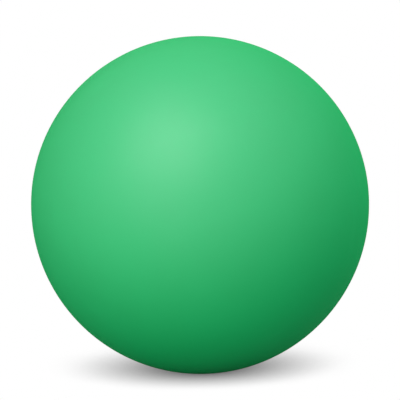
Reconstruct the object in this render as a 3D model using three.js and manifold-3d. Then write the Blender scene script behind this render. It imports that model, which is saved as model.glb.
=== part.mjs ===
// An inflated rubber bouncy ball, built up from its plies as the real one is: a moulded cover in two halves,
// a layer of wound thread, an air bladder, and a needle valve whose core pulls out.
// Millimetres, +Z up, the ball's centre at the origin, the front at -Y and the valve on the rear, along +Y.
// The ball stands on a floor, so every ply is pressed flat at its lowest point.
import * as THREE from 'three';
import { mergeVertices } from 'three/addons/utils/BufferGeometryUtils.js';
import Module from 'manifold-3d';

// The ball and its plies
const ballDiameter = 216;
const contactFlatDiameter = 20;
const coverThickness = 1.5;
const windingThickness = 0.4;
const bladderThickness = 0.7;

// The valve core
const coreDiameter = 6.4;
const coreHeadLip = 1.1;
const coreHeadThickness = 1.2;
const coreTipStandout = 1.5;
const coreTipChamfer = 0.8;
const needleChannelDiameter = 2;
const needleChannelDepth = 8;
const needleMouthDiameter = 3.6;
const needleMouthDepth = 1.5;

// The valve housing, the patch under its flange and the ring round its hole in the cover
const stemWall = 1.9;
const stemReach = 14;
const flangeWidth = 12.5;
const flangeThickness = 1;
const patchMargin = 7;
const patchThickness = 0.6;
const ringWidth = 3;
const ringHeight = 0.4;
const valveRecess = 0.4;

// Clearances where pieces meet
const plyGap = 0.3;
const seamGap = 0.3;
const fitGap = 0.3;
const windingSetback = 1.5;

// Facets
const ballSegments = 48;
const ringsPerQuarter = 12;
const valveSegments = 32;

// Radii of the plies, stacked inwards from the skin
const coverOuter = ballDiameter / 2;
const coverInner = coverOuter - coverThickness;
const windingOuter = coverInner - plyGap;
const windingInner = windingOuter - windingThickness;
const bladderOuter = windingInner - plyGap;
const bladderInner = bladderOuter - bladderThickness;
const patchOuter = bladderInner - plyGap;
const patchInner = patchOuter - patchThickness;
const flangeOuter = patchInner - plyGap;
const flangeInner = flangeOuter - flangeThickness;
const flatDepth = coverOuter - Math.sqrt(coverOuter ** 2 - (contactFlatDiameter / 2) ** 2);

// Radii round the valve's axis, from the core outwards
const coreRadius = coreDiameter / 2;
const coreHeadRadius = coreRadius + coreHeadLip;
const stemRadius = coreHeadRadius + fitGap + stemWall;
const valveHoleRadius = stemRadius + fitGap;
const ringRadius = valveHoleRadius + ringWidth;
const windingHoleRadius = valveHoleRadius + windingSetback;
const flangeRadius = stemRadius + flangeWidth;
const patchRadius = flangeRadius + patchMargin;

// Stations along the valve's axis, from the skin inwards
const valveFaceY = coverOuter - valveRecess;
const headSeatY = valveFaceY - coreHeadThickness;
const stemEndY = flangeInner - stemReach;
const coreEndY = stemEndY - coreTipStandout;

const wasm = await Module();
wasm.setup();

// A closed geometry as a solid that can be joined and cut. Triangles that shrink to a line on a lathe's axis
// are left out.
function solidOf(geometry) {
  geometry.deleteAttribute('normal');
  geometry.deleteAttribute('uv');
  const merged = mergeVertices(geometry);
  const corners = merged.index.array;
  const triangles = [];
  for (let i = 0; i < corners.length; i += 3) {
    const [a, b, c] = corners.slice(i, i + 3);
    if (a !== b && b !== c && c !== a) triangles.push(a, b, c);
  }
  return new wasm.Manifold(new wasm.Mesh({
    numProp: 3,
    vertProperties: merged.attributes.position.array,
    triVerts: new Uint32Array(triangles),
  }));
}

// A ball with its lowest point pressed flat: a disc, an arc up to the equator and an arc on to the top.
// Balls of all radii share one layout of rings and segments, so the plies cut from them stay parallel.
function pressedBall(radius) {
  const flatHeight = radius - flatDepth;
  const flatAngle = Math.acos(flatHeight / radius);
  const equator = Math.PI / 2;
  const angles = [flatAngle];
  for (let ring = 1; ring <= ringsPerQuarter; ring++) {
    angles.push(flatAngle + (equator - flatAngle) * ring / ringsPerQuarter);
  }
  for (let ring = 1; ring <= ringsPerQuarter; ring++) {
    angles.push(equator + equator * ring / ringsPerQuarter);
  }
  const arc = angles.map((angle) => new THREE.Vector2(radius * Math.sin(angle), -radius * Math.cos(angle)));
  const profile = [new THREE.Vector2(0, -flatHeight), ...arc];
  const upright = new THREE.LatheGeometry(profile, ballSegments).rotateX(Math.PI / 2);
  return solidOf(upright);
}

function ply(outerRadius, innerRadius) {
  return pressedBall(outerRadius).subtract(pressedBall(innerRadius));
}

// A round bar on the valve's axis
function valveBar(radius, fromY, toY) {
  const bar = new THREE.CylinderGeometry(radius, radius, toY - fromY, valveSegments);
  return solidOf(bar.translate(0, (fromY + toY) / 2, 0));
}

// A bar from the ball's centre to well outside it, for holes and for slices of a ply
function valveDrill(radius) {
  return valveBar(radius, 0, ballDiameter);
}

// All the space on one side of the mould's parting plane, half the seam's gap away from it
function sideOfSeam(side) {
  const block = new THREE.BoxGeometry(2 * ballDiameter, ballDiameter, 2 * ballDiameter);
  return solidOf(block.translate(0, side * (ballDiameter + seamGap) / 2, 0));
}

function buildCoverFront() {
  return ply(coverOuter, coverInner).intersect(sideOfSeam(-1));
}

function buildCoverRear() {
  const raisedRing = ply(coverOuter + ringHeight, coverInner).intersect(valveDrill(ringRadius));
  const half = ply(coverOuter, coverInner).intersect(sideOfSeam(1));
  return half.add(raisedRing).subtract(valveDrill(valveHoleRadius));
}

function buildThreadWinding() {
  return ply(windingOuter, windingInner).subtract(valveDrill(windingHoleRadius));
}

function buildBladder() {
  return ply(bladderOuter, bladderInner).subtract(valveDrill(valveHoleRadius));
}

function buildValvePatch() {
  const disc = ply(patchOuter, patchInner).intersect(valveDrill(patchRadius));
  return disc.subtract(valveDrill(valveHoleRadius));
}

function buildValveHousing() {
  const flange = ply(flangeOuter, flangeInner).intersect(valveDrill(flangeRadius));
  const stem = valveBar(stemRadius, stemEndY, valveFaceY);
  const bore = valveDrill(coreRadius + fitGap);
  const headSeat = valveBar(coreHeadRadius + fitGap, headSeatY - fitGap, ballDiameter);
  return flange.add(stem).subtract(bore).subtract(headSeat);
}

function buildValveCore() {
  const channelRadius = needleChannelDiameter / 2;
  const profile = [
    [0, coreEndY],
    [coreRadius - coreTipChamfer, coreEndY],
    [coreRadius, coreEndY + coreTipChamfer],
    [coreRadius, headSeatY],
    [coreHeadRadius, headSeatY],
    [coreHeadRadius, valveFaceY],
    [needleMouthDiameter / 2, valveFaceY],
    [channelRadius, valveFaceY - needleMouthDepth],
    [channelRadius, valveFaceY - needleChannelDepth],
    [0, valveFaceY - needleChannelDepth],
  ];
  const points = profile.map(([radius, y]) => new THREE.Vector2(radius, y));
  return solidOf(new THREE.LatheGeometry(points, valveSegments));
}

// Finishes: the green skin, the natural thread and the rubbers inside
const greenCover = { color: 0x32aa66, roughness: 0.5, metalness: 0 };
const nylonThread = { color: 0xd9d4c4, roughness: 0.85, metalness: 0 };
const blackRubber = { color: 0x1c1c1e, roughness: 0.65, metalness: 0 };
const patchRubber = { color: 0x4a4038, roughness: 0.75, metalness: 0 };
const softRubber = { color: 0xcfc4a8, roughness: 0.6, metalness: 0 };

const ball = new THREE.Group();

function addPiece(name, solid, finish) {
  const { vertProperties, triVerts } = solid.getMesh();
  const geometry = new THREE.BufferGeometry();
  geometry.setAttribute('position', new THREE.BufferAttribute(vertProperties, 3));
  geometry.setIndex(new THREE.BufferAttribute(triVerts, 1));
  geometry.computeVertexNormals();
  const piece = new THREE.Mesh(geometry, new THREE.MeshStandardMaterial(finish));
  piece.name = name;
  ball.add(piece);
}

addPiece('cover_front', buildCoverFront(), greenCover);
addPiece('cover_rear', buildCoverRear(), greenCover);
addPiece('thread_winding', buildThreadWinding(), nylonThread);
addPiece('bladder', buildBladder(), blackRubber);
addPiece('valve_patch', buildValvePatch(), patchRubber);
addPiece('valve_housing', buildValveHousing(), blackRubber);
addPiece('valve_core', buildValveCore(), softRubber);

export default ball;
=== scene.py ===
# %% [markdown]
# # A green bouncy ball, dressed over its solids
# An inflated rubber ball is built from the inside out: a bladder that holds the air, thread wound round
# it, and a coloured cover moulded on in two halves. At the back a needle valve goes through all of them.
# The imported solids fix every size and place. This lesson gives each layer its real surface, and then
# lights the ball softly on a white floor.

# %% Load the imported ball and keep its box
import math

import bmesh
import bpy
from mathutils import Matrix, Vector


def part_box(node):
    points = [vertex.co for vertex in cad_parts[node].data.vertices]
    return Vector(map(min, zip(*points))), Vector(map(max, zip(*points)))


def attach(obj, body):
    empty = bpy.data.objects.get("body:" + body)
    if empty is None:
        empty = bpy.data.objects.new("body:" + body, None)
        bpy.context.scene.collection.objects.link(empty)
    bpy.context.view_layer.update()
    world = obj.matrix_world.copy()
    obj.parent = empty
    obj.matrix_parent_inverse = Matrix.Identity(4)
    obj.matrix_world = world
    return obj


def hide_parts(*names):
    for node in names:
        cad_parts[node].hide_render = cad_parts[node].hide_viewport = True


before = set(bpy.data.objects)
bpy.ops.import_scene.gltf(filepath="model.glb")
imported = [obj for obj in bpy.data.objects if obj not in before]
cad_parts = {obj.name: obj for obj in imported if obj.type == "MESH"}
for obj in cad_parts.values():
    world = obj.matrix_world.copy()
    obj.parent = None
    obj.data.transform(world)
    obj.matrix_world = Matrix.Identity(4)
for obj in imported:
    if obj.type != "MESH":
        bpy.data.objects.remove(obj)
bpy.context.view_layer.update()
print("packed nodes:", ", ".join(sorted(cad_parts)))

# %% [markdown]
# ## Sizes
# The outside sizes are measured on the solids, so the new surfaces land exactly where the solids are.
# The wall thicknesses can't be read from a box, so they are written here once, and the radii of the plies
# are stacked inwards from the skin.

# %% Measure the ball and stack its plies
MM = 0.001

cover_wall = 1.5 * MM
winding_wall = 0.4 * MM
bladder_wall = 0.7 * MM
patch_wall = 0.6 * MM
flange_wall = 1.0 * MM
ply_gap = 0.3 * MM


def half_width(node):
    low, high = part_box(node)
    return (high.x - low.x) / 2


ball_radius = half_width("cover_front")
floor_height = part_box("cover_front")[0].z
flat_depth = ball_radius + floor_height
winding_radius = ball_radius - cover_wall - ply_gap
bladder_radius = winding_radius - winding_wall - ply_gap
patch_radius = bladder_radius - bladder_wall - ply_gap
flange_radius = patch_radius - patch_wall - ply_gap


def lowest_at(distance):
    """The lowest height of a point this far from the ball's centre. The floor presses every ply up alike."""
    return flat_depth - distance


print(f"ball radius {ball_radius / MM:.2f} mm, pressed flat by {flat_depth / MM:.2f} mm")
print(f"bladder radius {bladder_radius / MM:.2f} mm, solid {half_width('bladder') / MM:.2f} mm")

# %% Measure the valve, which lies along +Y
fit_gap = 0.3 * MM
stem_radius = 6.5 * MM
core_radius = 3.2 * MM
core_head_thickness = 1.2 * MM

valve_hole = stem_radius + fit_gap
core_head_radius = half_width("valve_core")
flange_reach = half_width("valve_housing")
patch_reach = half_width("valve_patch")
stem_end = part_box("valve_housing")[0].y
valve_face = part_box("valve_housing")[1].y
core_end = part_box("valve_core")[0].y
head_seat = valve_face - core_head_thickness
print(f"valve face at y {valve_face / MM:.2f} mm, stem {(valve_face - stem_end) / MM:.1f} mm long")

# %% [markdown]
# ## Rules written as formulas
# Two pieces follow a rule rather than an outline: the cover, which is a ball with a seam bead, a valve ring
# and a flat, and the winding, which is one long path. Geometry Nodes suit both, but a rule made of dozens
# of Math nodes is hard to read. The small class here stands for a number that flows through a node tree,
# so that ordinary arithmetic in the script adds the Math nodes.

# %% Helpers for node trees
TAU = 2 * math.pi


def feed(tree, socket, value):
    """Link a Term, a socket or a node's first output to a socket, or set the socket's own value."""
    source = value.socket if isinstance(value, Term) else value
    source = source.outputs[0] if isinstance(source, bpy.types.Node) else source
    if isinstance(source, bpy.types.NodeSocket):
        tree.links.new(source, socket)
    else:
        socket.default_value = source


def place(tree, kind, inputs=None, **settings):
    """Add a node, set its options and feed its inputs by name or number."""
    node = tree.nodes.new(kind)
    for option, value in settings.items():
        setattr(node, option, value)
    for label, value in (inputs or {}).items():
        feed(tree, node.inputs[label], value)
    return node


# %% Write a number that flows through a tree
class Term:
    """A number in a node tree. Arithmetic on it adds Math nodes."""

    def __init__(self, tree, socket):
        self.tree = tree
        self.socket = socket

    def math(self, operation, *others):
        node = place(self.tree, "ShaderNodeMath", operation=operation)
        for socket, value in zip(node.inputs, (self, *others)):
            feed(self.tree, socket, value)
        return Term(self.tree, node.outputs[0])

    def __add__(self, other):
        return self.math("ADD", other)

    def __sub__(self, other):
        return self.math("SUBTRACT", other)

    def __mul__(self, other):
        return self.math("MULTIPLY", other)

    def __truediv__(self, other):
        return self.math("DIVIDE", other)

    def sin(self):
        return self.math("SINE")

    def cos(self):
        return self.math("COSINE")

    def less_from(self, whole):
        """whole minus this number"""
        return self * -1 + whole

    def hump(self, width):
        """1 where this number is 0, falling smoothly to 0 a few widths away"""
        share = self / width
        return (share * share * -1).math("EXPONENT")

    def rise(self, start, end):
        """0 before start, 1 after end, smooth between"""
        ramp = place(self.tree, "ShaderNodeMapRange", {0: self, 1: start, 2: end},
                     interpolation_type="SMOOTHSTEP")
        return Term(self.tree, ramp.outputs[0])


# %% Helpers for Geometry Nodes trees
FLOAT, INT, MATERIAL = "NodeSocketFloat", "NodeSocketInt", "NodeSocketMaterial"


def geometry_rule(name, inputs):
    """A new tree with the named inputs. Returns it with a Term for each input."""
    tree = bpy.data.node_groups.new(name, "GeometryNodeTree")
    for label, kind in inputs.items():
        tree.interface.new_socket(label, in_out="INPUT", socket_type=kind)
    tree.interface.new_socket("Geometry", in_out="OUTPUT", socket_type="NodeSocketGeometry")
    given = tree.nodes.new("NodeGroupInput").outputs
    return tree, {label: Term(tree, given[label]) for label in inputs}


def end_rule(tree, geometry, material):
    """Realize what was made, give it its material and put it out."""
    whole = place(tree, "GeometryNodeRealizeInstances", {"Geometry": geometry})
    dressed = place(tree, "GeometryNodeSetMaterial", {"Geometry": whole, "Material": material})
    place(tree, "NodeGroupOutput", {"Geometry": dressed})


def grow(name, tree, values):
    """Run a tree with these input values and keep its result as a plain mesh object."""
    seed = bpy.data.meshes.new(name + "_seed")
    piece = bpy.data.objects.new(name, seed)
    bpy.context.scene.collection.objects.link(piece)
    rule = piece.modifiers.new("rule", "NODES")
    rule.node_group = tree
    for item in tree.interface.items_tree:
        if item.in_out == "INPUT":
            rule[item.identifier] = values[item.name]
    depsgraph = bpy.context.evaluated_depsgraph_get()
    grown = bpy.data.meshes.new_from_object(piece.evaluated_get(depsgraph), depsgraph=depsgraph)
    piece.modifiers.remove(rule)
    piece.data = grown
    bpy.data.meshes.remove(seed)
    return piece


# %% [markdown]
# ## Finishes that several rubbers share
# Moulded rubber is never one flat colour. Its pigment is a little blotchy, its skin has a fine grain from
# the mould, and handling polishes and scuffs it in patches. One node group makes those three patterns from
# Object coordinates, and each rubber mixes them in its own strength. A second group makes the talc that is
# dusted on the inner layers so that they don't stick.

# %% Shared shader groups
def shader_group(name, inputs, outputs):
    """A new shader group of numbers. Returns it with its inputs and the Object coordinates."""
    tree = bpy.data.node_groups.new(name, "ShaderNodeTree")
    for label in inputs:
        tree.interface.new_socket(label, in_out="INPUT", socket_type=FLOAT)
    for label in outputs:
        tree.interface.new_socket(label, in_out="OUTPUT", socket_type=FLOAT)
    given = tree.nodes.new("NodeGroupInput").outputs
    where = tree.nodes.new("ShaderNodeTexCoord").outputs["Object"]
    return tree, given, where


def noise(tree, where, scale, detail, roughness=0.5):
    texture = place(tree, "ShaderNodeTexNoise",
                    {"Vector": where, "Scale": scale, "Detail": detail, "Roughness": roughness})
    return Term(tree, texture.outputs[0])


def make_rubber_skin():
    tree, given, where = shader_group(
        "rubber_skin", ["Grain Scale", "Blotch Scale"], ["Grain", "Blotch", "Scuff"])
    grain = noise(tree, where, given["Grain Scale"], detail=2.0)
    blotch = noise(tree, where, given["Blotch Scale"], detail=4.0, roughness=0.55).rise(0.3, 0.7)
    stretched = place(tree, "ShaderNodeMapping", {"Vector": where, "Scale": (1.0, 2.2, 0.7)})
    scuff = noise(tree, stretched, given["Blotch Scale"], detail=9.0, roughness=0.7).rise(0.52, 0.75)
    place(tree, "NodeGroupOutput", {"Grain": grain, "Blotch": blotch, "Scuff": scuff})
    return tree


def make_talc_dust():
    tree, given, where = shader_group("talc_dust", ["Cloud Scale", "Speck Scale"], ["Dust"])
    cloud = noise(tree, where, given["Cloud Scale"], detail=5.0, roughness=0.6).rise(0.4, 0.75)
    specks = noise(tree, where, given["Speck Scale"], detail=1.0).rise(0.55, 0.75)
    place(tree, "NodeGroupOutput", {"Dust": cloud * (specks * 0.5 + 0.5)})
    return tree


rubber_skin = make_rubber_skin()
talc_dust = make_talc_dust()
print("shader groups:", rubber_skin.name, talc_dust.name)


# %% Helpers for materials
def new_finish(name, **sockets):
    """A material with one Principled BSDF, whose plain values are set on its own sockets."""
    material = bpy.data.materials.new(name)
    material.use_nodes = True
    tree = material.node_tree
    tree.nodes.clear()
    shader = place(tree, "ShaderNodeBsdfPrincipled", {label.replace("_", " "): value
                                                      for label, value in sockets.items()})
    place(tree, "ShaderNodeOutputMaterial", {"Surface": shader})
    return material, tree, shader


def use_group(tree, group, **inputs):
    """Place a shader group and return its outputs as Terms, by name."""
    node = place(tree, "ShaderNodeGroup", node_tree=group)
    for label, value in inputs.items():
        feed(tree, node.inputs[label.replace("_", " ")], value)
    return {output.name: Term(tree, output) for output in node.outputs}


def mix_colours(tree, share, first, second):
    """A colour between two others. first may be a colour or another mix."""
    # A Mix node numbers its colour sockets 6 and 7, and 2 on the way out, after those of other kinds
    node = place(tree, "ShaderNodeMix", {0: share, 6: first, 7: second}, data_type="RGBA")
    return node.outputs[2]


def bump(tree, shader, height, strength, depth):
    """Let a pattern of heights roughen the surface."""
    node = place(tree, "ShaderNodeBump", {"Height": height, "Strength": strength, "Distance": depth})
    feed(tree, shader.inputs["Normal"], node)


# %% [markdown]
# ## The green cover rubber
# The skin in the photograph is a clear leaf green with a satin finish: a broad, soft highlight, no sparkle
# and no bright rim. Glossy plastic would show the lamps as sharp shapes, so the roughness is very high, and
# the pattern groups move it by only a few hundredths. The highlight is a pale green rather than white, so
# the specular tint holds back its red. Wax blooms out of rubber and hands polish it, and a faint coat that
# stands for it makes the small bright middle of the highlight. A plain shader still gets shinier towards the
# edge of a ball, where the grain of real rubber shades itself, so Layer Weight takes the gloss back there.
# The grain is under half a millimetre, too fine to see at this distance, but it breaks up the highlight when
# the camera comes close. Painted shade darkens the groove of the seam and draws the one line on the ball,
# seen from its sides.

# %% Make the cover's finish
GREEN = (0.0012, 0.445, 0.112, 1.0)
GREEN_DEEP = (0.0009, 0.432, 0.107, 1.0)
GREEN_RUBBED = (0.0019, 0.452, 0.117, 1.0)
# painted shade: the cover green at half its value, for the groove of the seam
GREEN_SEAM_SHADE = (0.0006, 0.222, 0.055, 1.0)
GLOSS_TINT = (0.66, 1.0, 1.0, 1.0)
GLOSS_LEVEL = 0.48
GLOSS_FADE = 0.38  # a higher one takes the gloss back sooner
SATIN_ROUGHNESS = 0.89
WAX_WEIGHT = 0.075
WAX_ROUGHNESS = 0.5
SEAM_SHADE_WIDTH = 0.35 * MM
SEAM_SHADE_SHARE = 0.55


def make_cover_finish():
    material, tree, shader = new_finish(
        "cover_rubber", Specular_Tint=GLOSS_TINT, Coat_Roughness=WAX_ROUGHNESS)
    skin = use_group(tree, rubber_skin, Grain_Scale=2600.0, Blotch_Scale=24.0)
    pigment = mix_colours(tree, skin["Blotch"], GREEN_DEEP, GREEN)
    handled = mix_colours(tree, skin["Scuff"] * 0.5, pigment, GREEN_RUBBED)
    where = place(tree, "ShaderNodeTexCoord").outputs["Object"]
    from_seam = Term(tree, place(tree, "ShaderNodeSeparateXYZ", {0: where}).outputs["Y"])
    # painted shade: the groove of the seam is darkened towards half of its green
    seam_shade = from_seam.hump(SEAM_SHADE_WIDTH) * SEAM_SHADE_SHARE
    feed(tree, shader.inputs["Base Color"], mix_colours(tree, seam_shade, handled, GREEN_SEAM_SHADE))
    feed(tree, shader.inputs["Roughness"],
         skin["Blotch"] * 0.03 + skin["Scuff"] * -0.03 + SATIN_ROUGHNESS)
    turned_away = Term(tree, place(tree, "ShaderNodeLayerWeight", {"Blend": GLOSS_FADE}).outputs["Facing"])
    turned_here = turned_away.less_from(1)
    feed(tree, shader.inputs["Specular IOR Level"], turned_here * GLOSS_LEVEL)
    feed(tree, shader.inputs["Coat Weight"], turned_here * turned_here * WAX_WEIGHT)
    bump(tree, shader, skin["Grain"], strength=0.12, depth=0.05 * MM)
    return material


cover_finish = make_cover_finish()
print("cover finish:", len(cover_finish.node_tree.nodes), "nodes")

# %% [markdown]
# ## The moulded cover
# The cover comes out of a two-part mould as two half balls that are pressed together. Where the mould
# halves met there is a fine bead with a groove down its middle, and the rear half has a raised ring round
# the valve hole. A lathe would do, but the rule is so regular that a grid bent by a formula is shorter: one
# direction of the grid goes round the valve's axis, the other goes from the pole along the outer skin to
# the seam, and back along the inner wall. Rings lie close together at the seam and the hole, where the
# detail is, and everything below the floor is pressed flat.

# %% Write the rule of the half cover
WELD_DISTANCE = 0.001 * MM
RING_CROWDING = 0.9  # 0 spaces the rings evenly, 1 lets them meet at both ends
GROOVE_SHARE = 0.3  # of the bead's width


def make_half_cover_rule():
    tree, size = geometry_rule("half_cover", {
        "Side": FLOAT, "Radius": FLOAT, "Wall": FLOAT, "Flat Height": FLOAT,
        "Seam Gap": FLOAT, "Bead Height": FLOAT, "Bead Width": FLOAT,
        "Hole Radius": FLOAT, "Ring Radius": FLOAT, "Ring Height": FLOAT, "Ring Slope": FLOAT,
        "Rings": INT, "Segments": INT, "Closing Row": INT, "Material": MATERIAL})
    loop = size["Rings"] * 2 + 2
    rows = loop + size["Closing Row"]
    grid = place(tree, "GeometryNodeMeshGrid", {"Size X": 1.0, "Size Y": 1.0,
                                                "Vertices X": size["Segments"] + 1, "Vertices Y": rows})
    across = place(tree, "ShaderNodeSeparateXYZ", {0: place(tree, "GeometryNodeInputPosition")}).outputs
    turn = (Term(tree, across["X"]) + 0.5) * size["Side"] * TAU
    row = ((Term(tree, across["Y"]) + 0.5) * (rows - 1)).math("ROUND").math("MODULO", loop)

    inside = row.math("GREATER_THAN", size["Rings"] + 0.5)
    outside = inside.less_from(1)
    step = (outside * row + inside * (loop - 1 - row)) / size["Rings"]
    eased = step - (step * TAU).sin() * (RING_CROWDING / TAU)

    wall_radius = size["Radius"] - inside * size["Wall"]
    hole_angle = (size["Hole Radius"] / wall_radius).math("ARCSINE")
    seam_angle = (size["Seam Gap"] / size["Radius"]).less_from(math.pi / 2)
    polar = hole_angle + (seam_angle - hole_angle) * eased

    from_seam = (seam_angle - polar) * size["Radius"]
    bead = from_seam.hump(size["Bead Width"]) - from_seam.hump(size["Bead Width"] * GROOVE_SHARE)
    from_axis = wall_radius * polar.sin()
    ring_end = size["Ring Radius"] + size["Ring Slope"]
    ring = from_axis.rise(size["Ring Radius"], ring_end).less_from(1)
    edge = from_axis.rise(size["Hole Radius"], size["Hole Radius"] + size["Ring Slope"])
    detail = bead * size["Bead Height"] + ring * edge * size["Ring Height"]
    radius = wall_radius + detail * outside

    flat = (size["Flat Height"] - inside * size["Wall"]) * -1
    around = radius * polar.sin()
    place_of = place(tree, "ShaderNodeCombineXYZ", {
        "X": around * turn.sin(),
        "Y": radius * polar.cos() * size["Side"],
        "Z": (around * turn.cos()).math("MAXIMUM", flat)})
    bent = place(tree, "GeometryNodeSetPosition", {"Geometry": grid, "Position": place_of})
    joined = place(tree, "GeometryNodeMergeByDistance", {"Geometry": bent, "Distance": WELD_DISTANCE})
    end_rule(tree, joined, size["Material"])
    return tree


half_cover_rule = make_half_cover_rule()
print("half cover rule:", len(half_cover_rule.nodes), "nodes")


# %% Turn every piece the right way out and hand it to its body
SHARP_ANGLE = math.radians(40)


def hand_over(piece, body, node):
    """Close and smooth a piece's mesh, and let it ride in place of its solid."""
    work = bmesh.new()
    work.from_mesh(piece.data)
    bmesh.ops.remove_doubles(work, verts=work.verts, dist=WELD_DISTANCE)
    bmesh.ops.recalc_face_normals(work, faces=work.faces)
    open_edges = sum(not edge.is_manifold for edge in work.edges)
    volume = work.calc_volume(signed=True)
    work.to_mesh(piece.data)
    work.free()
    piece.data.shade_smooth()
    piece.data.set_sharp_from_angle(angle=SHARP_ANGLE)
    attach(piece, body)
    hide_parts(node)
    piece.data.calc_loop_triangles()
    print(f"{piece.name}: {len(piece.data.loop_triangles)} triangles, {open_edges} open edges, "
          f"{volume * 1e6:.2f} cm3")


# %% Mould the two halves
cover_sizes = {
    "Radius": ball_radius, "Wall": cover_wall, "Flat Height": ball_radius - flat_depth,
    "Seam Gap": 0.02 * MM, "Bead Height": 0.2 * MM, "Bead Width": 0.8 * MM,
    "Ring Slope": 0.7 * MM, "Rings": 80, "Segments": 192, "Material": cover_finish,
}
front_sizes = {"Side": -1.0, "Hole Radius": 0.0, "Ring Radius": 0.0, "Ring Height": 0.0, "Closing Row": 0}
rear_sizes = {"Side": 1.0, "Hole Radius": valve_hole, "Ring Radius": valve_hole + 3.0 * MM,
              "Ring Height": 0.4 * MM, "Closing Row": 1}

front_half = grow("moulded_cover_front", half_cover_rule, cover_sizes | front_sizes)
rear_half = grow("moulded_cover_rear", half_cover_rule, cover_sizes | rear_sizes)
hand_over(front_half, "ball", "cover_front")
hand_over(rear_half, "ball", "cover_rear")

# %% [markdown]
# ## The wound thread
# Under the cover a band of nylon threads goes round the bladder again and again, each turn close to a great
# circle and a little turned from the last, so that the ball can't swell out of round. A texture would do
# for a layer that nobody sees, but the ball taken apart should show real thread. One rule gives the place
# of every point on the path: the plane of the turn swings about the valve's axis and tilts up and down, and
# never tilts so far that the band would cross the valve. The path climbs as it goes, so that later turns
# lie over earlier ones. A row of low triangles, which face away from the ball, is the band's section.

# %% Make the thread's finish
TWIST_LENGTH = 1.1 * MM
TWIST_SLOPE = 1.4
YARN_SHADED = (0.56, 0.52, 0.42, 1.0)
YARN_BRIGHT = (0.72, 0.69, 0.58, 1.0)
YARN_DUSTED = (0.82, 0.81, 0.77, 1.0)


def make_thread_finish():
    material, tree, shader = new_finish("winding_thread", Specular_IOR_Level=0.35, Sheen_Weight=0.25)
    along = Term(tree, place(tree, "ShaderNodeAttribute", attribute_name="along").outputs["Fac"])
    across = Term(tree, place(tree, "ShaderNodeAttribute", attribute_name="across").outputs["Fac"])
    strand = ((along + across * TWIST_SLOPE) * (TAU / TWIST_LENGTH)).sin() * 0.5 + 0.5
    dust = use_group(tree, talc_dust, Cloud_Scale=40.0, Speck_Scale=900.0)["Dust"]
    yarn = mix_colours(tree, strand, YARN_SHADED, YARN_BRIGHT)
    feed(tree, shader.inputs["Base Color"], mix_colours(tree, dust * 0.6, yarn, YARN_DUSTED))
    feed(tree, shader.inputs["Roughness"], strand * 0.15 + 0.65)
    bump(tree, shader, strand, strength=0.4, depth=0.05 * MM)
    return material


# %% Write the path of the band
def winding_path(tree, size):
    """A curve round and round the ball. Its normals point away from the ball's centre."""
    steps = size["Turns"] * size["Steps per Turn"]
    line = place(tree, "GeometryNodeMeshLine", {"Count": steps + 1})
    index = Term(tree, place(tree, "GeometryNodeInputIndex").outputs[0])
    turns = index / size["Steps per Turn"]
    angle = turns * TAU
    swing = turns * size["Swing per Turn"]
    sweep = turns.math("PINGPONG", size["Tilt Turns"]) / size["Tilt Turns"]
    lean = size["Least Lean"] + sweep * (size["Least Lean"].less_from(1))
    tilt = (lean * lean).less_from(1).math("SQRT")
    radius = size["First Radius"] + (size["Last Radius"] - size["First Radius"]) * index / steps

    ahead = angle.cos()
    aside = angle.sin()
    point = place(tree, "ShaderNodeCombineXYZ", {
        "X": (lean * aside * swing.cos() - ahead * swing.sin()) * radius,
        "Y": tilt * aside * radius * -1,
        "Z": (lean * aside * swing.sin() + ahead * swing.cos()) * radius})
    laid = place(tree, "GeometryNodeSetPosition", {"Geometry": line, "Position": point})
    marked = place(tree, "GeometryNodeStoreNamedAttribute",
                   {"Geometry": laid, "Name": "along", "Value": angle * radius},
                   data_type="FLOAT", domain="POINT")
    path = place(tree, "GeometryNodeMeshToCurve", {"Mesh": marked})
    outward = place(tree, "GeometryNodeInputPosition")
    return place(tree, "GeometryNodeSetCurveNormal", {"Curve": path, "Normal": outward}, mode="FREE")


# %% Write the section of the band and the whole rule
def band_section(tree, size):
    """A row of low triangles beside each other. X is the way out of the ball."""
    # A triangle in a circle of radius 1 is 1.5 high and the square root of 3 wide
    triangle = place(tree, "GeometryNodeCurvePrimitiveCircle",
                     {"Resolution": 3, "Radius": 1.0}, mode="RADIUS")
    flatter = place(tree, "ShaderNodeCombineXYZ", {
        "X": size["Thread Height"] / 1.5, "Y": size["Thread Width"] / math.sqrt(3), "Z": 1.0})
    thread = place(tree, "GeometryNodeTransform", {"Geometry": triangle, "Scale": flatter})
    pitch = size["Thread Width"] + size["Thread Gap"]
    first = place(tree, "ShaderNodeCombineXYZ", {"Y": (size["Threads"] - 1) * pitch * -0.5})
    step = place(tree, "ShaderNodeCombineXYZ", {"Y": pitch})
    row = place(tree, "GeometryNodeMeshLine", {
        "Count": size["Threads"], "Start Location": first, "Offset": step})
    threads = place(tree, "GeometryNodeInstanceOnPoints", {"Points": row, "Instance": thread})
    band = place(tree, "GeometryNodeRealizeInstances", {"Geometry": threads})
    where = place(tree, "ShaderNodeSeparateXYZ", {0: place(tree, "GeometryNodeInputPosition")})
    return place(tree, "GeometryNodeStoreNamedAttribute",
                 {"Geometry": band, "Name": "across", "Value": where.outputs["Y"]},
                 data_type="FLOAT", domain="POINT")


def make_winding_rule():
    tree, size = geometry_rule("thread_winding", {
        "First Radius": FLOAT, "Last Radius": FLOAT,
        "Thread Width": FLOAT, "Thread Height": FLOAT, "Thread Gap": FLOAT, "Threads": INT,
        "Turns": INT, "Steps per Turn": INT, "Swing per Turn": FLOAT, "Tilt Turns": FLOAT,
        "Least Lean": FLOAT, "Material": MATERIAL})
    band = place(tree, "GeometryNodeCurveToMesh", {
        "Curve": winding_path(tree, size), "Profile Curve": band_section(tree, size), "Fill Caps": True})
    end_rule(tree, band, size["Material"])
    return tree


winding_rule = make_winding_rule()
print("winding rule:", len(winding_rule.nodes), "nodes")

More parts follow.
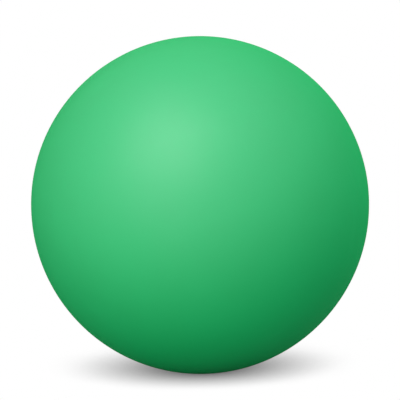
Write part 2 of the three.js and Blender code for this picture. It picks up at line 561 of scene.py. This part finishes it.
# %% Wind the band
thread_count = 4
thread_width = 0.58 * MM
thread_height = 0.2 * MM
thread_gap = 0.02 * MM
winding_clear = valve_hole + 1.5 * MM
band_half_width = thread_count * (thread_width + thread_gap) / 2
wound_thread = grow("wound_thread", winding_rule, {
    "First Radius": winding_radius - winding_wall + thread_height / 3,
    "Last Radius": winding_radius - thread_height * 2 / 3,
    "Thread Width": thread_width, "Thread Height": thread_height, "Thread Gap": thread_gap,
    "Threads": thread_count, "Turns": 100, "Steps per Turn": 60,
    "Swing per Turn": math.radians(22.6), "Tilt Turns": 13.3,
    "Least Lean": (winding_clear + band_half_width) / winding_radius, "Material": make_thread_finish()})
for vertex in wound_thread.data.vertices:
    vertex.co.z = max(vertex.co.z, lowest_at(vertex.co.length))
hand_over(wound_thread, "ball", "thread_winding")

# %% [markdown]
# ## Turned pieces
# The bladder, the patch, the valve housing and the core are all round about the valve's axis, so an outline
# spun round that axis makes each of them. The outline is a short list of corners, and a helper rounds every
# corner a little, because moulded rubber has no knife edges.

# %% Draw outlines with arcs and soft corners
ON_AXIS = 1e-9


def spread(start, end, steps):
    """Numbers from start to end, evenly spaced."""
    return [start + (end - start) * i / steps for i in range(steps + 1)]


def ball_point(radius, angle):
    """The outline point (distance from the axis, place along it) at an angle from the valve's axis."""
    return (radius * math.sin(angle), radius * math.cos(angle))


def arc(radius, start, end, steps):
    """Outline points on a circle round the ball's centre."""
    return [ball_point(radius, angle) for angle in spread(start, end, steps)]


def reach_angle(reach, radius):
    """The angle from the valve's axis at which a circle round the centre lies this far from the axis."""
    return math.asin(reach / radius)


def soften(outline, fillet, steps=3):
    """Round each corner of a closed outline, by at most a third of its shorter side."""
    rounded = []
    for i, corner in enumerate(outline):
        here = Vector(corner)
        before = Vector(outline[i - 1]) - here
        after = Vector(outline[(i + 1) % len(outline)]) - here
        if here.x < ON_AXIS:
            rounded.append(corner)
            continue
        reach = min(fillet, before.length / 3, after.length / 3)
        first = here + before.normalized() * reach
        last = here + after.normalized() * reach
        for t in spread(0, 1, steps):
            rounded.append(tuple(first * (1 - t) ** 2 + here * (2 * t * (1 - t)) + last * t**2))
    return rounded


# %% Spin an outline round the valve's axis
def turned(name, outline, segments, material):
    """A closed outline spun round the Y axis, and pressed flat where it would go through the floor."""
    work = bmesh.new()
    rings = []
    for reach, along in outline:
        lowest = lowest_at(math.hypot(reach, along))
        turns = [0.0] if reach < ON_AXIS else [TAU * i / segments for i in range(segments)]
        rings.append([work.verts.new((reach * math.sin(a), along, max(reach * math.cos(a), lowest)))
                      for a in turns])
    for ring, following in zip(rings, rings[1:] + rings[:1]):
        for i in range(segments if max(len(ring), len(following)) > 1 else 0):
            corners = [ring[i % len(ring)], ring[(i + 1) % len(ring)],
                       following[(i + 1) % len(following)], following[i % len(following)]]
            work.faces.new(list(dict.fromkeys(corners)))
    mesh = bpy.data.meshes.new(name)
    work.to_mesh(mesh)
    work.free()
    mesh.materials.append(material)
    piece = bpy.data.objects.new(name, mesh)
    bpy.context.scene.collection.objects.link(piece)
    return piece


# %% [markdown]
# ## The bladder and its patch
# The bladder is a thin black butyl bag with a low ridge round its middle, where its own mould closed. A
# rubber disc is cemented inside it round the valve. Both are dusted with talc, which collects in clouds.

# %% Make the finish of talced rubber
TALC = (0.62, 0.61, 0.58, 1.0)


def make_talced_finish(name, dark, pale, dust_share):
    material, tree, shader = new_finish(name, Specular_IOR_Level=0.4)
    skin = use_group(tree, rubber_skin, Grain_Scale=1500.0, Blotch_Scale=30.0)
    dust = use_group(tree, talc_dust, Cloud_Scale=28.0, Speck_Scale=700.0)["Dust"]
    rubber = mix_colours(tree, skin["Blotch"], dark, pale)
    feed(tree, shader.inputs["Base Color"], mix_colours(tree, dust * dust_share, rubber, TALC))
    feed(tree, shader.inputs["Roughness"], dust * 0.3 + skin["Blotch"] * 0.08 + 0.45)
    bump(tree, shader, skin["Grain"] + dust * 0.5, strength=0.2, depth=0.06 * MM)
    return material


# %% Make the bladder
bladder_finish = make_talced_finish(
    "bladder_rubber", dark=(0.010, 0.010, 0.011, 1.0), pale=(0.022, 0.021, 0.021, 1.0), dust_share=0.35)
bladder_inner = bladder_radius - bladder_wall
ridge_height = 0.2 * MM
ridge_half_angle = 1.5 * MM / bladder_radius
equator = math.pi / 2
bladder_outline = (
    arc(bladder_radius, reach_angle(valve_hole, bladder_radius), equator - ridge_half_angle, steps=24)
    + [ball_point(bladder_radius + ridge_height, equator)]
    + arc(bladder_radius, equator + ridge_half_angle, math.pi, steps=24)
    + arc(bladder_inner, math.pi, reach_angle(valve_hole, bladder_inner), steps=48)
)
bladder = turned("butyl_bladder", bladder_outline, segments=96, material=bladder_finish)
hand_over(bladder, "ball", "bladder")

# %% Make the patch
patch_finish = make_talced_finish(
    "patch_rubber", dark=(0.060, 0.042, 0.034, 1.0), pale=(0.085, 0.062, 0.050, 1.0), dust_share=0.25)
patch_inner = patch_radius - patch_wall
patch_bevel = 2 * MM
patch_outline = soften(
    arc(patch_radius, reach_angle(valve_hole, patch_radius), reach_angle(patch_reach, patch_radius), steps=8)
    + arc(patch_inner, reach_angle(patch_reach - patch_bevel, patch_inner),
          reach_angle(valve_hole, patch_inner), steps=8), fillet=0.15 * MM)
patch = turned("bladder_patch", patch_outline, segments=64, material=patch_finish)
hand_over(patch, "ball", "valve_patch")

# %% [markdown]
# ## The valve housing
# The housing is one black rubber moulding. Its flange is cemented under the patch, its stem comes out to the
# skin through all the plies, and its bore is wider at the mouth, where the head of the core sits. Three low
# rings stiffen the part of the stem that stands in the air space.

# %% Make the finish of the housing
VALVE_BLACK = (0.010, 0.010, 0.011, 1.0)
VALVE_DULL = (0.020, 0.020, 0.021, 1.0)
VALVE_SCUFFED = (0.06, 0.06, 0.06, 1.0)


def make_valve_finish():
    material, tree, shader = new_finish("valve_rubber", Specular_IOR_Level=0.4)
    skin = use_group(tree, rubber_skin, Grain_Scale=3200.0, Blotch_Scale=160.0)
    rubber = mix_colours(tree, skin["Blotch"], VALVE_BLACK, VALVE_DULL)
    feed(tree, shader.inputs["Base Color"], mix_colours(tree, skin["Scuff"] * 0.6, rubber, VALVE_SCUFFED))
    feed(tree, shader.inputs["Roughness"], skin["Blotch"] * 0.1 + skin["Scuff"] * 0.1 + 0.5)
    bump(tree, shader, skin["Grain"], strength=0.25, depth=0.04 * MM)
    return material


# %% Make the valve housing
def stem_rings(start, end, count, height):
    """Outline corners of low rings along the stem, from start down to end."""
    corners = []
    pitch = (end - start) / count
    foot = pitch * 0.25
    crest = pitch * 0.12
    for i in range(count):
        middle = start + pitch * (i + 0.5)
        corners += [(stem_radius, middle - foot), (stem_radius + height, middle - crest),
                    (stem_radius + height, middle + crest), (stem_radius, middle + foot)]
    return corners


flange_inner = flange_radius - flange_wall
flange_taper = 4 * MM
seat_radius = core_head_radius + fit_gap
bore_radius = core_radius + fit_gap
stem_root = flange_inner * math.cos(reach_angle(stem_radius, flange_inner))
housing_outline = soften(
    [(seat_radius, valve_face), (stem_radius, valve_face)]
    + arc(flange_radius, reach_angle(stem_radius, flange_radius),
          reach_angle(flange_reach, flange_radius), steps=6)
    + arc(flange_inner, reach_angle(flange_reach - flange_taper, flange_inner),
          reach_angle(stem_radius, flange_inner), steps=5)
    + stem_rings(stem_root, stem_end, count=3, height=0.5 * MM)
    + [(stem_radius, stem_end), (bore_radius, stem_end),
       (bore_radius, head_seat - fit_gap), (seat_radius, head_seat - fit_gap)], fillet=0.4 * MM)
housing = turned("valve_seat", housing_outline, segments=64, material=make_valve_finish())
hand_over(housing, "ball", "valve_housing")

# %% [markdown]
# ## The valve core
# The core is a soft cream rubber plug. Its head sits flush in the housing, a funnel guides the pump needle
# into a narrow channel, and the closed tip is slit so that the needle can push through. Two low ribs grip
# the bore. The slit is cut with a Boolean modifier, since a spun outline can't have one.

# %% Make the finish of the core
CORE_CREAM = (0.56, 0.48, 0.33, 1.0)
CORE_PALE = (0.66, 0.59, 0.43, 1.0)
CORE_SOILED = (0.40, 0.35, 0.26, 1.0)


def make_core_finish():
    material, tree, shader = new_finish(
        "core_rubber", Specular_IOR_Level=0.45, Subsurface_Weight=0.1, Subsurface_Scale=1.0,
        Subsurface_Radius=(1.2 * MM, 0.8 * MM, 0.5 * MM))
    skin = use_group(tree, rubber_skin, Grain_Scale=3800.0, Blotch_Scale=220.0)
    rubber = mix_colours(tree, skin["Blotch"], CORE_CREAM, CORE_PALE)
    feed(tree, shader.inputs["Base Color"], mix_colours(tree, skin["Scuff"] * 0.4, rubber, CORE_SOILED))
    feed(tree, shader.inputs["Roughness"], skin["Blotch"] * 0.08 + skin["Scuff"] * 0.12 + 0.42)
    bump(tree, shader, skin["Grain"], strength=0.2, depth=0.03 * MM)
    return material


# %% Make the valve core
def core_ribs(places, height, width):
    """Outline corners of low ribs round the core. The width is half of a rib's foot."""
    corners = []
    for middle in places:
        corners += [(core_radius, middle - width), (core_radius + height, middle - width / 3),
                    (core_radius + height, middle + width / 3), (core_radius, middle + width)]
    return corners


channel_radius = 1.0 * MM
mouth_radius = 1.8 * MM
mouth_depth = 1.5 * MM
channel_end = valve_face - 8 * MM
tip_chamfer = 0.8 * MM
rib_places = [core_end + 6 * MM, core_end + 12 * MM]
core_outline = soften(
    [(0.0, core_end), (core_radius - tip_chamfer, core_end), (core_radius, core_end + tip_chamfer)]
    + core_ribs(rib_places, height=0.15 * MM, width=0.6 * MM)
    + [(core_radius, head_seat), (core_head_radius, head_seat), (core_head_radius, valve_face),
       (mouth_radius, valve_face), (channel_radius, valve_face - mouth_depth), (channel_radius, channel_end),
       (0.0, channel_end)], fillet=0.3 * MM)
core = turned("needle_core", core_outline, segments=64, material=make_core_finish())

# %% Slit the tip of the core and hand it over
slit_width = 0.35 * MM
slit_length = 4.4 * MM
slit_depth = 1.2 * MM
blade_mesh = bpy.data.meshes.new("slit_blade")
blade_work = bmesh.new()
bmesh.ops.create_cube(blade_work, size=1.0)
bmesh.ops.scale(blade_work, vec=(slit_length, 2 * slit_depth, slit_width), verts=blade_work.verts)
bmesh.ops.translate(blade_work, vec=(0.0, core_end, 0.0), verts=blade_work.verts)
blade_work.to_mesh(blade_mesh)
blade_work.free()
blade = bpy.data.objects.new("slit_blade", blade_mesh)
bpy.context.scene.collection.objects.link(blade)

cut = core.modifiers.new("slit", "BOOLEAN")
cut.operation = "DIFFERENCE"
cut.solver = "EXACT"
cut.object = blade
depsgraph = bpy.context.evaluated_depsgraph_get()
slit_core = bpy.data.meshes.new_from_object(core.evaluated_get(depsgraph), depsgraph=depsgraph)
core.modifiers.remove(cut)
core.data = slit_core
bpy.data.objects.remove(blade)
hand_over(core, "valve_core", "valve_core")

# %% [markdown]
# ## The floor
# The photograph's floor is pure white with only a soft grey shadow close under the ball, as in an evenly
# lit light tent. Lamps bright enough to burn a real floor white would spoil the ball's own colour. So to
# the camera the floor is a white of strength 1, dimmed by how much of the tent each point of it sees, which
# is the shadow that even light casts. The tent is a little brighter in front, so its axis leans that way and
# the shadow lies a little behind the ball. To the light that bounces up to the ball, the floor is plain grey.

# %% Make the floor's finish
def seen_directly(tree):
    """1 for rays that show the background: from the camera, a mirror or clear glass."""
    rays = tree.nodes.new("ShaderNodeLightPath").outputs
    mirrored = Term(tree, rays["Is Glossy Ray"]).math("MAXIMUM", rays["Is Transmission Ray"])
    return mirrored.math("MAXIMUM", rays["Is Camera Ray"])


def make_floor_finish(shadow_gain, sky_lean, bounce):
    """White with a shadow to the camera, and a grey that bounces this share of the light to the ball."""
    material = bpy.data.materials.new("light_tent_floor")
    material.use_nodes = True
    tree = material.node_tree
    tree.nodes.clear()
    sky_axis = place(tree, "ShaderNodeCombineXYZ", {"Y": -math.sin(sky_lean), "Z": math.cos(sky_lean)})
    sky = place(tree, "ShaderNodeAmbientOcclusion", {"Distance": 2.0, "Normal": sky_axis}, samples=24)
    light = Term(tree, sky.outputs["AO"]) * shadow_gain
    white = place(tree, "ShaderNodeEmission", {"Strength": light.math("MINIMUM", 1.0)})
    grey = place(tree, "ShaderNodeBsdfDiffuse", {"Color": (bounce, bounce, bounce, 1.0)})
    both = place(tree, "ShaderNodeMixShader", {0: seen_directly(tree), 1: grey, 2: white})
    place(tree, "ShaderNodeOutputMaterial", {"Surface": both})
    return material


# %% Lay the floor
floor_size = 30.0
floor_mesh = bpy.data.meshes.new("floor")
floor_work = bmesh.new()
bmesh.ops.create_grid(floor_work, x_segments=1, y_segments=1, size=floor_size)
bmesh.ops.translate(floor_work, vec=(0.0, 0.0, floor_height), verts=floor_work.verts)
floor_work.to_mesh(floor_mesh)
floor_work.free()
floor_mesh.materials.append(make_floor_finish(shadow_gain=1.77, sky_lean=math.radians(24), bounce=0.27))
floor = bpy.data.objects.new("floor", floor_mesh)
bpy.context.scene.collection.objects.link(floor)
print(f"floor at z {floor_height / MM:.2f} mm")

# %% [markdown]
# ## Light
# The ball is palest high on its left and darkest low on its right. Even light from all round, as in a tent of
# white cloth, sets the level. A softbox in front, a little to the left, brightens the side that faces the
# camera. Two weaker ones, high on the right and behind, round off the top and the far side. Dull rubber
# mirrors so little of them that it would show no highlight. The last softbox is there for that alone: it is
# bright, but gives no diffuse light, so the highlight can be as pale as in the photograph without more light
# on the ball.

# %% Helpers for the light
def light_world(level):
    """A white world that shows at strength 1 and lights the ball at this level."""
    world = bpy.data.worlds.new("light_tent")
    bpy.context.scene.world = world
    world.use_nodes = True
    tree = world.node_tree
    tree.nodes.clear()
    white = place(tree, "ShaderNodeBackground", {"Color": (1.0, 1.0, 1.0, 1.0), "Strength": 1.0})
    dim = place(tree, "ShaderNodeBackground", {"Color": (1.0, 1.0, 1.0, 1.0), "Strength": level})
    both = place(tree, "ShaderNodeMixShader", {0: seen_directly(tree), 1: dim, 2: white})
    place(tree, "ShaderNodeOutputWorld", {"Surface": both})


def softbox(name, azimuth, elevation, distance, size, level):
    """A square lamp aimed at the ball. A face turned to it at the ball's centre gets this share of white."""
    sideways = Matrix.Rotation(math.radians(azimuth), 3, "Z")
    upwards = Matrix.Rotation(math.radians(-elevation), 3, "X")
    towards = sideways @ upwards @ Vector((0.0, -1.0, 0.0))
    lamp = bpy.data.lights.new(name, "AREA")
    lamp.size = size
    # On its axis a lamp gives watts / (pi * distance**2), and a white face lit by pi shows as 1
    lamp.energy = level * math.pi**2 * distance**2
    box = bpy.data.objects.new(name, lamp)
    box.location = towards * distance
    box.rotation_euler = towards.to_track_quat("Z", "Y").to_euler()
    bpy.context.scene.collection.objects.link(box)
    return box


# %% Set the world and the lamps
light_world(level=0.77)
softbox("front_softbox", azimuth=-21, elevation=7, distance=0.9, size=0.4, level=0.415)
softbox("right_softbox", azimuth=103, elevation=47, distance=1.2, size=0.9, level=0.28)
softbox("back_softbox", azimuth=197, elevation=40, distance=1.2, size=0.9, level=0.28)
gloss_lamp = softbox("gloss_softbox", azimuth=-26, elevation=49, distance=0.9, size=0.7, level=8.5)
gloss_lamp.visible_diffuse = False

# %% [markdown]
# ## The camera
# The shadow is a low, wide ellipse that hardly spreads towards the viewer, so the camera looks down by only
# seven degrees, through a long lens. The shadow is also a little lower at one end, which a slight roll gives.
# The distance follows from how much of the frame the ball fills: the rays that touch a ball make a cone, so
# its radius in the picture is the tangent of the cone's half angle.

# %% Place the camera
IMAGE_SIZE = 400
BALL_RADIUS_PX = 169.0
BALL_CENTRE_PX = (200.0, 205.0)
CAMERA_ELEVATION = math.radians(7.0)
CAMERA_ROLL = math.radians(-1.2)

camera_data = bpy.data.cameras.new("camera")
camera_data.lens = 300
camera_data.clip_end = 100
camera = bpy.data.objects.new("camera", camera_data)
bpy.context.scene.collection.objects.link(camera)
bpy.context.scene.camera = camera

pixels_per_slope = camera_data.lens / camera_data.sensor_width * IMAGE_SIZE
camera_distance = ball_radius / math.sin(math.atan(BALL_RADIUS_PX / pixels_per_slope))
backwards = Vector((0.0, -math.cos(CAMERA_ELEVATION), math.sin(CAMERA_ELEVATION)))
drop = math.atan((BALL_CENTRE_PX[1] - IMAGE_SIZE / 2) / pixels_per_slope)
tilted = Matrix.Rotation(math.pi / 2 - CAMERA_ELEVATION + drop, 4, "X")
rolled = Matrix.Rotation(CAMERA_ROLL, 4, "Z")
camera.matrix_world = Matrix.Translation(backwards * camera_distance) @ tilted @ rolled
print(f"camera {camera_distance:.3f} m from the ball's centre")

# %% [markdown]
# ## Finish
# The Standard view shows a colour about as it is written.

# %% Set the view
bpy.context.scene.view_settings.view_transform = "Standard"
